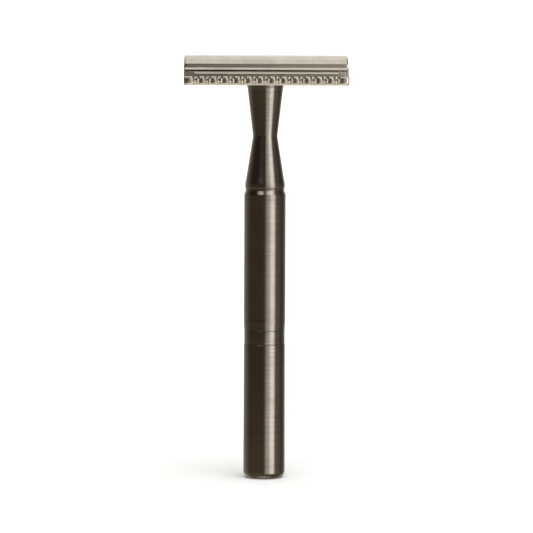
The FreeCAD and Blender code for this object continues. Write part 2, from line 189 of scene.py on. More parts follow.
def carved(bm, added, cut, edge):
    """The solid with others added and cut away, and its sharp edges bevelled by that width."""
    obj = draft(bm)
    others = []
    for operation, meshes in (("UNION", added), ("DIFFERENCE", cut)):
        if meshes:
            other = draft(gathered(meshes))
            others.append(other)
            change = obj.modifiers.new(operation, "BOOLEAN")
            change.operation = operation
            change.solver = "EXACT"
            change.object = other
    bevel = obj.modifiers.new("edges", "BEVEL")
    bevel.width = edge
    bevel.segments = 2
    bevel.limit_method = "ANGLE"
    bevel.angle_limit = BEVEL_ANGLE
    evaluated = obj.evaluated_get(bpy.context.evaluated_depsgraph_get())
    result = bmesh.new()
    result.from_mesh(evaluated.to_mesh())
    evaluated.to_mesh_clear()
    for spare in [obj] + others:
        mesh = spare.data
        bpy.data.objects.remove(spare)
        bpy.data.meshes.remove(mesh)
    return result


# ---------------------------------------------------------------- materials

class Nodes:
    """Short calls for building a node tree.

    Inputs are given by name with underscores for spaces, or by number as i0, i1 and so on.
    """

    def __init__(self, tree):
        self.tree = tree
        tree.nodes.clear()

    def add(self, kind, settings=None, **inputs):
        """New node, with its settings and inputs."""
        node = self.tree.nodes.new(kind)
        for key, value in (settings or {}).items():
            setattr(node, key, value)
        for key, value in inputs.items():
            by_number = key[0] == "i"
            self.feed(node.inputs[int(key[1:]) if by_number else key.replace("_", " ")], value)
        return node

    def feed(self, socket, value):
        """Link an output to the socket, or set the socket to a plain value."""
        if isinstance(value, bpy.types.NodeSocket):
            self.tree.links.new(value, socket)
        else:
            socket.default_value = value

    def math(self, operation, a, b=0.0):
        return self.add("ShaderNodeMath", {"operation": operation}, i0=a, i1=b).outputs[0]

    def ramp(self, value, low, high, start=0.0, end=1.0):
        """A smooth step from start to end, as the value goes from low to high."""
        node = self.add(
            "ShaderNodeMapRange",
            {"interpolation_type": "SMOOTHSTEP"},
            Value=value,
            From_Min=low,
            From_Max=high,
            To_Min=start,
            To_Max=end,
        )
        return node.outputs["Result"]

    def noise(self, vector, scale, detail=3.0, roughness=0.55):
        node = self.add("ShaderNodeTexNoise", None, Vector=vector, Scale=scale, Detail=detail)
        node.inputs["Roughness"].default_value = roughness
        return node.outputs["Fac"]

    def stretch(self, vector, scale):
        return self.add("ShaderNodeMapping", None, Vector=vector, Scale=scale).outputs[0]

    def mix(self, factor, a, b):
        node = self.add("ShaderNodeMix", {"data_type": "RGBA"})
        # the factor and the two colours, among inputs for every data type
        for index, value in ((0, factor), (6, a), (7, b)):
            self.feed(node.inputs[index], value)
        return node.outputs[2]


BROADER = 7              # how much wider the broad streaks are than the fine lines
HANDLED_TONE = 0.86      # tone where the metal has been handled
STREAK_SHARE = 0.35      # share of the worn colour in the broad streaks
EDGE_SHARE = 0.6         # and on the edges
SMUDGE_SHARE = 0.8       # roughness that handling adds, as a share of the lines' own
BROAD_RELIEF = 0.6       # height of the broad streaks as a share of the lines'
QUARTER_TURN = 0.25


def metal(name, colour, worn, rough, rough_spread, grain, tangent_axis, anisotropy, depth):
    """Metal with fine tool lines, a slow change of tone, and lighter worn edges.

    grain is the noise's scale per metre on each axis: small along the lines and large across them.
    depth is the height of the lines in metres.
    """
    material = bpy.data.materials.new(name)
    material.use_nodes = True
    n = Nodes(material.node_tree)
    place = n.add("ShaderNodeTexCoord").outputs["Object"]
    broad_grain = tuple(value / BROADER for value in grain)
    lines = n.noise(n.stretch(place, grain), scale=1.0, detail=4.0, roughness=0.6)
    broad = n.noise(n.stretch(place, broad_grain), scale=1.0, detail=2.0)
    handling = n.noise(place, scale=160.0, detail=3.0)
    edges = n.add("ShaderNodeNewGeometry").outputs["Pointiness"]
    edge_mask = n.ramp(edges, low=0.52, high=0.60)
    plain = colour + (1.0,)
    lighter = worn + (1.0,)
    darker = tuple(channel * HANDLED_TONE for channel in colour) + (1.0,)
    tone = n.mix(n.ramp(handling, low=0.35, high=0.7), plain, darker)
    streaks = n.math("MULTIPLY", n.ramp(broad, low=0.3, high=0.75), STREAK_SHARE)
    tone = n.mix(streaks, tone, lighter)
    tone = n.mix(n.math("MULTIPLY", edge_mask, EDGE_SHARE), tone, lighter)
    roughness = n.ramp(lines, 0.25, 0.75, start=rough - rough_spread, end=rough + rough_spread)
    smudge = n.ramp(handling, 0.4, 0.75, start=0.0, end=rough_spread * SMUDGE_SHARE)
    roughness = n.math("ADD", roughness, smudge)
    relief = n.math("ADD", lines, n.math("MULTIPLY", broad, BROAD_RELIEF))
    bump = n.add("ShaderNodeBump", None, Height=relief, Distance=depth, Strength=1.0)
    tangent = n.add("ShaderNodeTangent", {"direction_type": "RADIAL", "axis": tangent_axis})
    shader = n.add(
        "ShaderNodeBsdfPrincipled",
        None,
        Base_Color=tone,
        Metallic=1.0,
        Roughness=roughness,
        Normal=bump.outputs[0],
        Tangent=tangent.outputs[0],
        Anisotropic=anisotropy,
    )
    if tangent_axis == "Z":
        shader.inputs["Anisotropic Rotation"].default_value = QUARTER_TURN
    n.add("ShaderNodeOutputMaterial", None, Surface=shader.outputs[0])
    return material


NICKEL = (0.76, 0.71, 0.615)
GUNMETAL = (0.285, 0.262, 0.228)
ALONG_X = (120.0, 6500.0, 6500.0)
ROUND_Z = (160.0, 160.0, 14000.0)

nickel = metal(
    "satin_nickel",
    colour=NICKEL,
    worn=(0.86, 0.82, 0.74),
    rough=0.22,
    rough_spread=0.04,
    grain=ALONG_X,
    tangent_axis="X",
    anisotropy=0.45,
    depth=2e-6,
)
blade_steel = metal(
    "blade_steel",
    colour=(0.66, 0.635, 0.58),
    worn=(0.8, 0.78, 0.74),
    rough=0.36,
    rough_spread=0.05,
    grain=ALONG_X,
    tangent_axis="X",
    anisotropy=0.3,
    depth=1e-6,
)
gunmetal = metal(
    "gunmetal",
    colour=GUNMETAL,
    worn=(0.42, 0.39, 0.35),
    rough=0.21,
    rough_spread=0.03,
    grain=ROUND_Z,
    tangent_axis="Z",
    anisotropy=0.4,
    depth=1e-6,
)
gunmetal_grooved = metal(
    "gunmetal_grooved",
    colour=GUNMETAL,
    worn=(0.40, 0.37, 0.33),
    rough=0.235,
    rough_spread=0.03,
    grain=ROUND_Z,
    tangent_axis="Z",
    anisotropy=0.4,
    depth=1e-6,
)
plain_steel = metal(
    "plain_steel",
    colour=(0.56, 0.55, 0.53),
    worn=(0.7, 0.69, 0.67),
    rough=0.35,
    rough_spread=0.06,
    grain=ROUND_Z,
    tangent_axis="Z",
    anisotropy=0.3,
    depth=4e-6,
)


# ---------------------------------------------------------------- handle

neck_low, neck_high = box_mm("neck")
grip_low, grip_high = box_mm("upper_grip")
band_low, band_high = box_mm("band_ring")
sleeve_low, sleeve_high = box_mm("lower_grip")
foot_high = box_mm("end_cap")[1]
rod_low, rod_high = box_mm("core_rod")

BORE = 3.5

# the shoulder's places are heights above the seam with the grip
SHOULDER_EDGE = 0.12
SHOULDER_LOW = 0.6
SHOULDER_TOP = 1.45
CONE_INSET = 0.21
CONE_BOTTOM = 2.55
WAIST_Z = 91.0
WAIST_RADIUS = 3.22
# the flare's and the socket's places are depths below the neck's top
FLARE_RADIUS = 4.68
FLARE_DEPTH = 0.6
NECK_TOP_INSET = 0.42
SOCKET_MOUTH_RADIUS = 2.82
SOCKET_RADIUS = 2.1
SOCKET_MOUTH_DEPTH = 0.7
SOCKET_DEPTH = 10.75

TAPER_INSET = 0.10
TAPER_BOTTOM = 0.4
TAPER_TOP = 2.45
GROOVES_START = 2.95               # above the sleeve's bottom
GROOVES_END = 2.5                  # below its top
GROOVE_PITCH = 0.5
GROOVE_DEPTH = 0.016
# height above the groove's start, and share of the depth
GROOVE_PROFILE = ((0.10, 0.0), (0.18, 0.7), (0.25, 1.0), (0.32, 0.7), (0.40, 0.0))
NECKING_INSET = 0.38
NECKING_BOTTOM = 1.45
NECKING_TOP = 0.43

BAND_EDGE = 0.12
FOOT_ROUND = 1.75
GRIP_DRAFT = 0.07                  # how much smaller the lower grip's radius is at its top
SEAM = 0.03                        # half the width of the V at the end cap's seam


def make_neck():
    """Two cones meeting at a crisp waist, a rounded shoulder, and the threaded socket's bore."""
    top = neck_high.z
    seam = grip_high.z
    shoulder = neck_high.x
    outline = [
        (0, rod_high.z),
        (rod_high.x, rod_high.z),
        (rod_high.x, neck_low.z),
        (BORE, neck_low.z),
        (BORE, seam),
        (shoulder - SHOULDER_EDGE, seam, 0.08),
        (shoulder, seam + SHOULDER_LOW, 0.35),
        (shoulder, seam + SHOULDER_TOP, 1.0),
        (shoulder - CONE_INSET, seam + CONE_BOTTOM, 1.5),
        (WAIST_RADIUS, WAIST_Z, 0.35),
        (FLARE_RADIUS, top - FLARE_DEPTH, 3.0),
        (shoulder - NECK_TOP_INSET, top, 0.1),
        (SOCKET_MOUTH_RADIUS, top, 0.08),
        (SOCKET_RADIUS, top - SOCKET_MOUTH_DEPTH),
        (SOCKET_RADIUS, top - SOCKET_DEPTH),
        (0, top - SOCKET_DEPTH),
    ]
    return lathe(rounded(outline, closed=False), closed=False)


def make_upper_grip():
    """Sleeve with fine turned grooves, a taper to the band and a thinner top."""
    radius = grip_high.x
    bottom = grip_low.z
    top = grip_high.z
    outline = [
        (BORE, top),
        (BORE, bottom),
        (radius - TAPER_INSET, bottom, 0.1),
        (radius - TAPER_INSET, bottom + TAPER_BOTTOM, 0.3),
        (radius, bottom + TAPER_TOP, 1.0),
    ]
    z = bottom + GROOVES_START
    while z < top - GROOVES_END:
        outline += [(radius - GROOVE_DEPTH * share, z + rise) for rise, share in GROOVE_PROFILE]
        z += GROOVE_PITCH
    outline += [
        (radius, top - NECKING_BOTTOM, 0.8),
        (radius - NECKING_INSET, top - NECKING_TOP, 0.3),
        (radius - NECKING_INSET, top, 0.1),
    ]
    return lathe(rounded(outline), closed=True)


def make_band():
    """Smooth ring with rounded edges."""
    outline = [
        (BORE, band_low.z),
        (band_high.x, band_low.z, BAND_EDGE),
        (band_high.x, band_high.z, BAND_EDGE),
        (BORE, band_high.z),
    ]
    return lathe(rounded(outline), closed=True)


def foot_profile():
    """Right side of the lower grip and end cap together, from the axis up."""
    return rounded(
        [
            (0, 0),
            (sleeve_high.x, 0, FOOT_ROUND),
            (sleeve_high.x - GRIP_DRAFT, sleeve_high.z, BAND_EDGE),
            (BORE, sleeve_high.z),
        ],
        closed=False,
    )


def split_profile(points, height, upper):
    """The part of a rising profile above or below a height, with a point added there."""
    kept = []
    for before, after in zip(points, points[1:]):
        if (before.y >= height) == upper:
            kept.append(before)
        if (before.y - height) * (after.y - height) < 0:
            share = (height - before.y) / (after.y - before.y)
            kept.append(before.lerp(after, share))
    if (points[-1].y >= height) == upper:
        kept.append(points[-1])
    return kept


def make_lower_grip():
    """Smooth sleeve above the end cap's seam."""
    seam = sleeve_low.z
    outer = split_profile(foot_profile(), seam + SEAM, True)
    turned_in = Vector((outer[0].x - SEAM, seam))
    return lathe([Vector((BORE, seam)), turned_in] + outer, closed=True)


def make_end_cap():
    """Rounded foot below the seam, with a spigot hole for the rod."""
    seam = sleeve_low.z
    outer = split_profile(foot_profile(), seam - SEAM, False)
    turned_in = Vector((outer[-1].x - SEAM, seam))
    inside = [
        Vector((BORE, seam)),
        Vector((BORE, foot_high.z)),
        Vector((rod_high.x, foot_high.z)),
        Vector((rod_high.x, rod_low.z)),
        Vector((0, rod_low.z)),
    ]
    return lathe(outer + [turned_in] + inside, closed=False)


piece("neck_body", make_neck(), "handle", ["neck"], gunmetal)
piece(
    "grooved_sleeve",
    make_upper_grip(),
    "handle",
    ["upper_grip"],
    gunmetal_grooved,
)
piece("smooth_band", make_band(), "handle", ["band_ring"], gunmetal)
piece("foot_sleeve", make_lower_grip(), "handle", ["lower_grip"], gunmetal)
piece("foot_cap", make_end_cap(), "handle", ["end_cap"], gunmetal)

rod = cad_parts["core_rod"]
rod.material_slots[0].material = plain_steel


# ---------------------------------------------------------------- head

stud_low, stud_high = box_mm("cap_stud")
pins_low, pins_high = box_mm("guide_posts")
blade_high = box_mm("razor_blade")[1]
plate_low, plate_high = box_mm("base_plate")
cap_high = box_mm("top_cap")[1]

THREAD_PITCH = 0.8
THREAD_CREST_HALF = 0.053          # half width of the ridge, and of ridge and flanks together
THREAD_ROOT_HALF = 0.376
THREAD_ROOT_RADIUS = 2.0
THREAD_LEAD_IN = 0.3
STUD_CHAMFER = 0.5
SHANK_HEIGHT = 3.0
SHANK_BLEND = 0.3
SHANK_INSET = 0.01
STUD_ROWS = 300
STUD_COLUMNS = 72
PIN_X = 13.0
PIN_ROUND = 0.4


def make_stud():
    """Screw with a right-hand thread, a chamfered tip and a plain shank."""
    crest = stud_high.x
    start = stud_low.z - THREAD_LEAD_IN
    shank_z = stud_high.z - SHANK_HEIGHT
    bm = bmesh.new()
    grid = []
    for row in range(STUD_ROWS + 1):
        z = stud_low.z + (stud_high.z - stud_low.z) * row / STUD_ROWS
        ring = []
        for column in range(STUD_COLUMNS):
            angle = 2 * math.pi * column / STUD_COLUMNS
            turns = (z - start) / THREAD_PITCH - angle / (2 * math.pi)
            away = abs(turns - round(turns)) * THREAD_PITCH
            flank = (away - THREAD_CREST_HALF) / (THREAD_ROOT_HALF - THREAD_CREST_HALF)
            radius = crest - (crest - THREAD_ROOT_RADIUS) * min(1, max(0, flank))
            radius = min(radius, crest - STUD_CHAMFER + z - stud_low.z)
            if z > shank_z:
                blend = min(1, (z - shank_z) / SHANK_BLEND)
                radius += (crest - SHANK_INSET - radius) * blend
            ring.append(bm.verts.new((radius * math.cos(angle), radius * math.sin(angle), z)))
        grid.append(ring)
    for lower, upper in zip(grid, grid[1:]):
        for column in range(STUD_COLUMNS):
            following = (column + 1) % STUD_COLUMNS
            bm.faces.new((lower[column], lower[following], upper[following], upper[column]))
    for ring in (grid[0], grid[-1]):
        bm.faces.new(ring)
    return bm


def make_pins():
    """Two round pins with rounded lower ends, in one mesh."""
    radius = pins_high.y
    outline = rounded(
        [
            (0, pins_low.z),
            (radius, pins_low.z, PIN_ROUND),
            (radius, pins_high.z),
            (0, pins_high.z),
        ],
        closed=False,
    )
    return gathered(
        [lathe(outline, closed=False, segments=PIN_SEGMENTS, centre_x=x) for x in (-PIN_X, PIN_X)]
    )


# the blade's middle layer is bent to an arch about the X axis
ARCH_RADIUS = 21.5
BLADE_THICKNESS = 0.1
CLAMP_GAP = 0.03
ARCH_CENTRE = blade_high.z - BLADE_THICKNESS / 2 - ARCH_RADIUS

BOSS_BOTTOM = 0.25
HEAD = plate_low.z - BOSS_BOTTOM   # heights in the head are measured from here

CAP_WALL = 8.85
LIP_TOP = HEAD + 4.98
LIP_NOSE_TOP = HEAD + 4.48
LIP_BOTTOM = HEAD + 4.37
STEP_TOP = HEAD + 5.97
LIP_ROUND = 0.05
STEP_ROUND = 0.08
CROWN_RISE = 0.235                 # from the crown's top to where its slopes would meet
CAP_SHOULDER_Y = 7.22
CAP_SHOULDER = HEAD + 7.81
CAP_SHOULDER_ROUND = 3.4
CAP_END_ROUND = 0.42               # in plan, above the lip
CAP_END_BLEND = 0.4                # height over which that rounding begins
CAP_END_DROP = 0.8
CAP_BEVEL = 0.03
ARC_STEPS = 40
END_ROUND = 0.6                    # in plan, at the ends of the lip and of the plate
END_STEPS = 6
TOUCH = 0.01                       # a height or width within this counts as reached


def end_rounding(from_end, radius):
    """How far a rounded end is drawn in, at a distance from the end."""
    if from_end >= radius:
        return 0.0
    return radius - math.sqrt(radius ** 2 - (radius - from_end) ** 2)


def end_steps(length):
    """X positions that follow the rounding at the right end, from its start outward."""
    turns = [math.pi / 2 * step / END_STEPS for step in range(END_STEPS + 1)]
    return [length - END_ROUND * (1 - math.cos(turn)) for turn in turns[::-1]]


def make_cap():
    """Crowned cap: long side faces, an upright step, a thin rounded lip and the blade's hollow."""
    length = cap_high.x
    lip = cap_high.y
    slope = math.atan((cap_high.z + CROWN_RISE - CAP_SHOULDER) / CAP_SHOULDER_Y)
    crown_radius = CROWN_RISE / (1 / math.cos(slope) - 1)
    hollow = ARCH_RADIUS + BLADE_THICKNESS / 2 + CLAMP_GAP
    clamp_angle = math.acos((LIP_BOTTOM - ARCH_CENTRE) / hollow)
    clamp_line = hollow * math.sin(clamp_angle)
    side = [
        (clamp_line, LIP_BOTTOM),
        (lip, LIP_BOTTOM, LIP_ROUND),
        (lip, LIP_NOSE_TOP, LIP_ROUND),
        (CAP_WALL, LIP_TOP),
        (CAP_WALL, STEP_TOP, STEP_ROUND),
        (CAP_SHOULDER_Y, CAP_SHOULDER, CAP_SHOULDER_ROUND),
    ]
    corners = side + [(0, cap_high.z + CROWN_RISE, crown_radius)]
    corners += [(-corner[0],) + corner[1:] for corner in side[::-1]]
    outer = rounded(corners, closed=False)
    arc = []
    for step in range(1, ARC_STEPS):
        angle = clamp_angle * (2 * step / ARC_STEPS - 1)
        arc.append(Vector((hollow * math.sin(angle), ARCH_CENTRE + hollow * math.cos(angle))))
    rings = []
    right = end_steps(length)
    for x in [-x for x in right[::-1]] + right:
        from_end = length - abs(x)
        top_in = end_rounding(from_end, CAP_END_ROUND)
        lip_in = end_rounding(from_end, END_ROUND)
        ring = []
        for point in outer:
            y, z = point
            if z > LIP_TOP - TOUCH:
                y *= 1 - top_in * min(1, (z - LIP_TOP + TOUCH) / CAP_END_BLEND) / CAP_WALL
                z -= top_in * min(1, (z - LIP_TOP) / CAP_END_DROP)
            elif abs(y) > clamp_line:
                reach = (abs(y) - clamp_line) / (lip - clamp_line)
                y -= math.copysign(lip_in * reach, y)
            ring.append((x, y, z))
        ring += [(x, point.x, point.y) for point in arc]
        rings.append(ring)
    return carved(loft(rings), added=[], cut=[], edge=CAP_BEVEL)


PLATE_BOTTOM = 0.4
PLATE_BEVEL = 0.04
GUARD_LIP_TOP = 0.95
GUARD_TOP = 2.7
GUARD_ROUND = 0.6
GUARD_STEPS = 5
GUARD_INNER = 11.1
GUARD_INNER_ROUND = 0.2
CHANNEL_FLOOR = 1.5
CHANNEL_ROUND = 0.4
BED_HALF_WIDTH = 9.0
BED_STEPS = 36
FLUTE_COUNT = 13
FLUTE_PITCH = 3.05
FLUTE_SPREAD = math.tan(math.radians(38))
FLUTE_DEPTH = 0.95
FLUTE_LEAN = 0.277
SLOT_HALF = 0.29
SLOT_BOTTOM = 0.78
SLOT_TOP = 2.1
DRAIN_COUNT = 5
DRAIN_PITCH = 7.6
DRAIN_HALF_LENGTH = 3
DRAIN_HALF_WIDTH = 0.7
DRAIN_ROUND = 0.69
END_WALL_X = 20.2
END_WALL_TOP = 2.38
LOW_END_ROUND = 0.5                # at the ends, along the bottom edge
PLAN_ROUND_START = 1               # the ends' rounding in plan starts this far outside the bed
STUD_HOLE_RADIUS = 2.75
PIN_HOLE_RADIUS = 1.6
PIN_HOLE_BOTTOM = 1.2
BOSS_RADIUS = 4.9
BOSS_ROUND = 0.1
BOSS_TOP = 0.8
# how far cutters reach past the faces they open
OVERCUT = 0.2
SLOT_REACH = 0.5
DRAIN_OVERCUT = 0.3
BELOW = -1
ABOVE = 8


def plate_side(front):
    """Half of the plate's section from the bottom edge round to the bed, as (y, height, fluted)."""
    rows = [
        (front - GUARD_LIP_TOP + PLATE_BOTTOM, PLATE_BOTTOM, False),
        (front, GUARD_LIP_TOP, False),
        (front, GUARD_LIP_TOP, True),
    ]
    for step in range(GUARD_STEPS + 1):
        angle = math.pi / 2 * step / GUARD_STEPS
        rows.append(
            (
                front - GUARD_ROUND * (1 - math.cos(angle)),
                GUARD_TOP - GUARD_ROUND * (1 - math.sin(angle)),
                True,
            )
        )
    inner = [
        (GUARD_INNER, GUARD_TOP, GUARD_INNER_ROUND),
        (GUARD_INNER, CHANNEL_FLOOR, CHANNEL_ROUND),
        (BED_HALF_WIDTH, CHANNEL_FLOOR, CHANNEL_ROUND),
    ]
    path = rounded([(front, GUARD_TOP)] + inner + [(BED_HALF_WIDTH, GUARD_TOP)], closed=False)
    rows += [(point.x, point.y, False) for point in path[1:-1]]
    return rows


def spread(count, pitch):
    """X positions of evenly spaced features, centred on the head."""
    return [(index - (count - 1) / 2) * pitch for index in range(count)]


def plate_columns(length):
    """(x, part of a flute, is end wall) along the plate.

    Part of a flute is -2 or 2 at its outer edges, -1 or 1 beside its slot, and 0 elsewhere.
    """
    columns = []
    for centre in spread(FLUTE_COUNT, FLUTE_PITCH):
        columns += [(centre, part, False) for part in (-2, -1, 1, 2)]
    right = [(END_WALL_X, 0, False)]
    right += [(x, 0, True) for x in [END_WALL_X] + end_steps(length)]
    return [(-x, *rest) for x, *rest in right[::-1]] + columns + right


def flute_point(x, part, y, height, fluted, front):
    """X and y of a point of the section where a flute cuts it.

    The flute's depth leans with height, and below the lip's top it stays as it is there.
    """
    depth = FLUTE_DEPTH + FLUTE_LEAN * ((height if fluted else GUARD_LIP_TOP) - GUARD_LIP_TOP)
    if abs(part) == 1:
        if fluted:
            y = min(y, front - depth + SLOT_HALF / FLUTE_SPREAD)
        return x + part * SLOT_HALF, y
    drawn_in = front - y if fluted else 0.0
    return x + math.copysign((depth - drawn_in) * FLUTE_SPREAD, part), y


def plate_ring(column, side_rows, bed, front, length):
    """Closed section of the plate at one column."""
    x, part, is_wall = column
    from_end = length - abs(x)
    plan_in = end_rounding(from_end, END_ROUND)
    low_in = end_rounding(from_end, LOW_END_ROUND)
    plan_start = BED_HALF_WIDTH + PLAN_ROUND_START
    right = []
    for y, height, fluted in side_rows:
        at_x = x
        if part:
            at_x, y = flute_point(x, part, y, height, fluted, front)
        if is_wall and y < GUARD_INNER + TOUCH:
            height = max(height, END_WALL_TOP)
        height = max(height, PLATE_BOTTOM + low_in)
        if y > plan_start:
            y -= plan_in * (y - plan_start) / (front - plan_start)
        right.append((at_x, y, HEAD + height))
    ring = right + [(x, y, z) for y, z in bed]
    return ring + [(at_x, -y, z) for at_x, y, z in right[::-1]]


def box_plan(left, near, right, far):
    """Corners of a block's plan, in order round it."""
    return [(left, near), (right, near), (right, far), (left, far)]


def plate_cuts(front):
    """Stud hole, pin holes, guard slots and drains."""
    below = HEAD + BELOW
    above = HEAD + ABOVE
    cuts = [cylinder(STUD_HOLE_RADIUS, below, above)]
    for x in (-PIN_X, PIN_X):
        cuts.append(cylinder(PIN_HOLE_RADIUS, HEAD + PIN_HOLE_BOTTOM, above, x))
    for sign in (-1, 1):
        near = sign * (GUARD_INNER - OVERCUT)
        far = sign * (front + SLOT_REACH)
        for x in spread(FLUTE_COUNT, FLUTE_PITCH):
            plan = box_plan(x - SLOT_HALF, near, x + SLOT_HALF, far)
            cuts.append(prism(rounded(plan), HEAD + SLOT_BOTTOM, HEAD + SLOT_TOP))
        y = sign * (GUARD_INNER + BED_HALF_WIDTH) / 2
        for x in spread(DRAIN_COUNT, DRAIN_PITCH):
            plan = box_plan(
                x - DRAIN_HALF_LENGTH,
                y - DRAIN_HALF_WIDTH,
                x + DRAIN_HALF_LENGTH,
                y + DRAIN_HALF_WIDTH,
            )
            plan = rounded([corner + (DRAIN_ROUND,) for corner in plan])
            cuts.append(prism(plan, below, HEAD + CHANNEL_FLOOR + DRAIN_OVERCUT))
    return cuts


def make_plate():
    """Bed, lather channels and two fluted guard bars with slots and drains."""
    front = plate_high.y
    length = plate_high.x
    bed_radius = ARCH_RADIUS - BLADE_THICKNESS / 2 - CLAMP_GAP
    bed_angle = math.asin(BED_HALF_WIDTH / bed_radius)
    bed = []
    for step in range(BED_STEPS + 1):
        angle = bed_angle * (1 - 2 * step / BED_STEPS)
        bed.append((bed_radius * math.sin(angle), ARCH_CENTRE + bed_radius * math.cos(angle)))
    side_rows = plate_side(front)
    columns = plate_columns(length)
    rings = [plate_ring(column, side_rows, bed, front, length) for column in columns]
    boss_corners = [
        (0, HEAD + BOSS_BOTTOM),
        (BOSS_RADIUS, HEAD + BOSS_BOTTOM, BOSS_ROUND),
        (BOSS_RADIUS, HEAD + BOSS_TOP),
        (0, HEAD + BOSS_TOP),
    ]
    boss = lathe(rounded(boss_corners, closed=False), closed=False, segments=HOLE_SEGMENTS)
    return carved(loft(rings), added=[boss], cut=plate_cuts(front), edge=PLATE_BEVEL)


piece("cap_body", make_cap(), "cap", ["top_cap"], nickel)
piece("stud_screw", make_stud(), "cap", ["cap_stud"], nickel)
piece("locating_pins", make_pins(), "cap", ["guide_posts"], nickel)
piece("fluted_plate", make_plate(), "plate", ["base_plate"], nickel)

EDGE_LENGTH = 37.4
TAB_WIDTH = 13.0
TAB_ROUND = 1.0
NOTCH_ROUND = 0.8
EDGE_CORNER_ROUND = 0.3
FLAT_HALF_WIDTH = 11.0
GROUND_WIDTH = 0.45
GROUND_THINNING = 0.88             # share of the thickness that is ground away at the edge
OPENING_HALF_LENGTH = 17.0
OPENING_HALF_WIDTH = 1.1
OPENING_HOLES = ((0, 2.9), (-PIN_X, 1.9), (PIN_X, 1.9))     # (x, radius)
OPENING_STEPS = 240
BEND_PITCH = 0.7
BEND_COUNT = 15                    # cuts across the blade on each side, for the bend
BLADE_SAME_POINT = 1e-3


def opening_half_width(x):
    """Half width of the blade's long central opening at x."""
    past_slot = max(0, abs(x) - OPENING_HALF_LENGTH + OPENING_HALF_WIDTH)
    half = math.sqrt(max(0, OPENING_HALF_WIDTH ** 2 - past_slot ** 2))
    for centre, radius in OPENING_HOLES:
        if abs(x - centre) < radius:
            half = max(half, math.sqrt(radius ** 2 - (x - centre) ** 2))
    return half


def make_blade():
    """Thin strip with end tabs, a pierced middle and ground edges, bent over the bed."""
    quarter = [
        (blade_high.x, TAB_WIDTH / 2, TAB_ROUND),
        (EDGE_LENGTH / 2, TAB_WIDTH / 2, NOTCH_ROUND),
        (EDGE_LENGTH / 2, FLAT_HALF_WIDTH, EDGE_CORNER_ROUND),
    ]
    outline = quarter + [(-u, v, r) for u, v, r in quarter[::-1]]
    outline += [(-u, -v, r) for u, v, r in quarter] + [(u, -v, r) for u, v, r in quarter[::-1]]
    turns = [math.pi * (step / OPENING_STEPS - 0.5) for step in range(OPENING_STEPS + 1)]
    samples = [OPENING_HALF_LENGTH * math.sin(turn) for turn in turns]
    upper = [Vector((x, opening_half_width(x))) for x in samples]
    lower = [Vector((x, -opening_half_width(x))) for x in samples[1:-1]]
    curve = bpy.data.curves.new("blade_flat", "CURVE")
    curve.dimensions = "2D"
    curve.fill_mode = "BOTH"
    curve.extrude = BLADE_THICKNESS / 2
    for points in (rounded(outline), upper + lower[::-1]):
        spline = curve.splines.new("POLY")
        spline.points.add(len(points) - 1)
        for target, point in zip(spline.points, points):
            target.co = (point.x, point.y, 0, 1)
        spline.use_cyclic_u = True
    flat = bpy.data.objects.new("blade_flat", curve)
    bpy.context.scene.collection.objects.link(flat)
    filled = flat.evaluated_get(bpy.context.evaluated_depsgraph_get())
    mesh = bpy.data.meshes.new_from_object(filled)
    bm = bmesh.new()
    bm.from_mesh(mesh)
    bpy.data.objects.remove(flat)
    bmesh.ops.remove_doubles(bm, verts=bm.verts, dist=BLADE_SAME_POINT)
    ground_line = FLAT_HALF_WIDTH - GROUND_WIDTH
    cuts = [index * BEND_PITCH for index in range(-BEND_COUNT, BEND_COUNT + 1)]
    for cut in cuts + [-ground_line, ground_line]:
        bmesh.ops.bisect_plane(
            bm,
            geom=bm.verts[:] + bm.edges[:] + bm.faces[:],
            plane_co=(0, cut, 0),
            plane_no=(0, 1, 0),
        )
    for vertex in bm.verts:
        x, across, through = vertex.co
        ground = max(0, abs(across) - ground_line) / GROUND_WIDTH
        radius = ARCH_RADIUS + through * (1 - GROUND_THINNING * ground)
        angle = across / ARCH_RADIUS
        vertex.co = (x, radius * math.sin(angle), ARCH_CENTRE + radius * math.cos(angle))
    return bm


piece("edge_blade", make_blade(), "blade", ["razor_blade"], blade_steel)


# ---------------------------------------------------------------- stage, light and camera

FLOOR_RADIUS = 1900.0
WALL_RADIUS = 2600.0
WALL_HEIGHT = 2600.0
SWEEP_ROUND = 600
PAPER_LIGHT = (0.90, 0.90, 0.895, 1)
PAPER_DARK = (0.88, 0.88, 0.875, 1)


def make_stage():
    """Pale floor that sweeps up into a round wall on every side."""
    outline = [(0, 0), (FLOOR_RADIUS, 0), (WALL_RADIUS, 0, SWEEP_ROUND), (WALL_RADIUS, WALL_HEIGHT)]
    bm = lathe(rounded(outline, closed=False), closed=False, segments=HOLE_SEGMENTS)
    bmesh.ops.scale(bm, vec=(MM, MM, MM), verts=bm.verts)
    bmesh.ops.reverse_faces(bm, faces=bm.faces)
    mesh = bpy.data.meshes.new("studio_sweep")
    bm.to_mesh(mesh)
    bm.free()
    mesh.shade_smooth()
    sweep = bpy.data.objects.new("studio_sweep", mesh)
    bpy.context.scene.collection.objects.link(sweep)
    material = bpy.data.materials.new("pale_paper")
    material.use_nodes = True
    n = Nodes(material.node_tree)
    place = n.add("ShaderNodeTexCoord").outputs["Object"]
    fibre = n.noise(place, scale=900.0, detail=4.0)
    tone = n.mix(n.ramp(fibre, low=0.3, high=0.7), PAPER_LIGHT, PAPER_DARK)
    shader = n.add(
        "ShaderNodeBsdfPrincipled",
        None,
        Base_Color=tone,
        Roughness=0.9,
        Specular_IOR_Level=0.1,
    )
    n.add("ShaderNodeOutputMaterial", None, Surface=shader.outputs[0])
    mesh.materials.append(material)
    # the metal mirrors the studio's lamps, not the paper
    sweep.visible_glossy = False


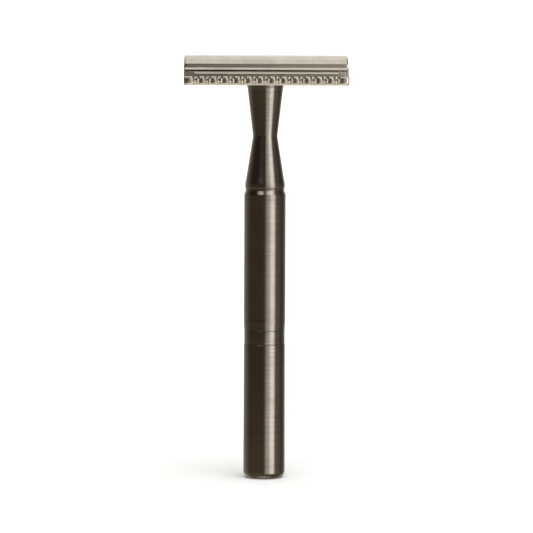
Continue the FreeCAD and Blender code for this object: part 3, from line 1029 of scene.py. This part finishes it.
# Spans of the surroundings in degrees, each as (low, half width of its edge, high, half width).
# Sideways they run from the front, positive to the right. Upward they run from level.
HANDLE_BAND = (-24, 8, 38, 6)
RIM_BAND = (-40, 10, 20, 6)
FLUTE_BAND = (27, 3, 40, 5)
BACK_BAND = (2, 8, 64, 8)
BACK_EDGE = 400                    # past the seam of the angle at 180
SOFT_BOXES = (
    # strength, span sideways, span upward
    (1.4, (30, 5, 57, 6), HANDLE_BAND),
    (0.15, (61, 6, 95, 25), HANDLE_BAND),
    (2.1, (-44, 8, -12, 8), FLUTE_BAND),
    (1.7, (12, 8, 44, 8), FLUTE_BAND),
    (0.30, (-BACK_EDGE, 5, -117, 33), RIM_BAND),
    (0.32, (133, 23, BACK_EDGE, 5), RIM_BAND),
    (0.7, (-BACK_EDGE, 5, -150, 15), BACK_BAND),
    (0.7, (150, 15, BACK_EDGE, 5), BACK_BAND),
)
MAIN_BOX = (1.0, (6, 9, 57, 6), HANDLE_BAND)
# a shade in the main box, where the head's upright faces mirror it
SHADE_SIDEWAYS = (-20, 8, 16, 8)
SHADE_UPWARD = (-1.5, 2.5, 9, 5)
SHADE_DEPTH = 0.68
OVERHEAD = (0.76, (58, 9, 100, 1))
UNDERFOOT = (0.66, (-100, 1, -72, 8))
# the room's brightness and what is taken off it higher up, each as (from degree, to degree,
# value below, value above)
ROOM_LOWER_STEP = (-20, -8, 0.19, 0.10)
ROOM_UPPER_STEP = (-2, 14, 0.0, 0.06)
ROOM_COLOUR = (1.0, 0.78, 0.56, 1)
BOX_COLOUR = (1.0, 0.985, 0.955, 1)


def make_world():
    """Surroundings mirrored by the metal: a dark room with soft boxes round it and above."""
    world = bpy.data.worlds.new("studio")
    bpy.context.scene.world = world
    world.use_nodes = True
    n = Nodes(world.node_tree)
    direction = n.add("ShaderNodeTexCoord").outputs["Generated"]
    x, y, z = n.add("ShaderNodeSeparateXYZ", None, Vector=direction).outputs
    # degrees from the front, positive to the right, and degrees above level
    around = n.math("ARCTAN2", x, n.math("MULTIPLY", y, -1.0))
    around = n.math("MULTIPLY", around, 180 / math.pi)
    above = n.math("MULTIPLY", n.math("ARCSINE", z), 180 / math.pi)

    def band(value, low, low_soft, high, high_soft):
        rise = n.ramp(value, low - low_soft, low + low_soft)
        fall = n.ramp(value, high - high_soft, high + high_soft, start=1.0, end=0.0)
        return n.math("MULTIPLY", rise, fall)

    def patch(strength, sideways, upward):
        shape = n.math("MULTIPLY", band(around, *sideways), band(above, *upward))
        return n.math("MULTIPLY", shape, strength)

    room = n.math("SUBTRACT", n.ramp(above, *ROOM_LOWER_STEP), n.ramp(above, *ROOM_UPPER_STEP))
    shade = n.math("SUBTRACT", 1.0, patch(SHADE_DEPTH, SHADE_SIDEWAYS, SHADE_UPWARD))
    light = n.math("MULTIPLY", patch(*MAIN_BOX), shade)
    for soft_box in SOFT_BOXES:
        light = n.math("ADD", light, patch(*soft_box))
    for strength, upward in (OVERHEAD, UNDERFOOT):
        light = n.math("ADD", light, n.math("MULTIPLY", band(above, *upward), strength))
    dim = n.add("ShaderNodeBackground", None, Color=ROOM_COLOUR, Strength=room)
    bright = n.add("ShaderNodeBackground", None, Color=BOX_COLOUR, Strength=light)
    background = n.add("ShaderNodeAddShader", None, i0=dim.outputs[0], i1=bright.outputs[0])
    n.add("ShaderNodeOutputWorld", None, Surface=background.outputs[0])


SUN_ENERGY = 2.3
SUN_ANGLE = math.radians(50)
SUN_TILT = (math.radians(14), math.radians(8), 0)


def make_sun():
    """Broad soft light for the floor and its contact shadow, which the metal doesn't mirror."""
    lamp = bpy.data.lights.new("overhead_soft", "SUN")
    lamp.energy = SUN_ENERGY
    lamp.angle = SUN_ANGLE
    obj = bpy.data.objects.new("overhead_soft", lamp)
    obj.rotation_euler = SUN_TILT
    obj.visible_glossy = False
    bpy.context.scene.collection.objects.link(obj)


CAMERA_DISTANCE = 0.650            # in metres
CAMERA_HEIGHT = 0.107
CAMERA_TURN = math.radians(-1.6)   # to the razor's left
CAMERA_TILT = math.radians(-4.455)
CAMERA_PAN = math.radians(0.042)
CAMERA_ROLL = math.radians(0.22)
SENSOR = 36.0
LENS = 165.7


def make_camera():
    """Long lens level with the head, turned down to take in the handle."""
    data = bpy.data.cameras.new("camera")
    data.sensor_width = SENSOR
    data.lens = LENS
    data.clip_start = 0.01
    data.clip_end = 20.0
    camera = bpy.data.objects.new("camera", data)
    camera.location = (
        CAMERA_DISTANCE * math.sin(CAMERA_TURN),
        -CAMERA_DISTANCE * math.cos(CAMERA_TURN),
        CAMERA_HEIGHT,
    )
    level = Quaternion((0, 0, 1), CAMERA_TURN - CAMERA_PAN) @ Quaternion((1, 0, 0), math.pi / 2)
    aim = level @ Quaternion((1, 0, 0), CAMERA_TILT) @ Quaternion((0, 0, 1), CAMERA_ROLL)
    camera.rotation_mode = "QUATERNION"
    camera.rotation_quaternion = aim
    bpy.context.scene.collection.objects.link(camera)
    bpy.context.scene.camera = camera


make_stage()
make_world()
make_sun()
make_camera()
bpy.context.scene.view_settings.view_transform = "Standard"
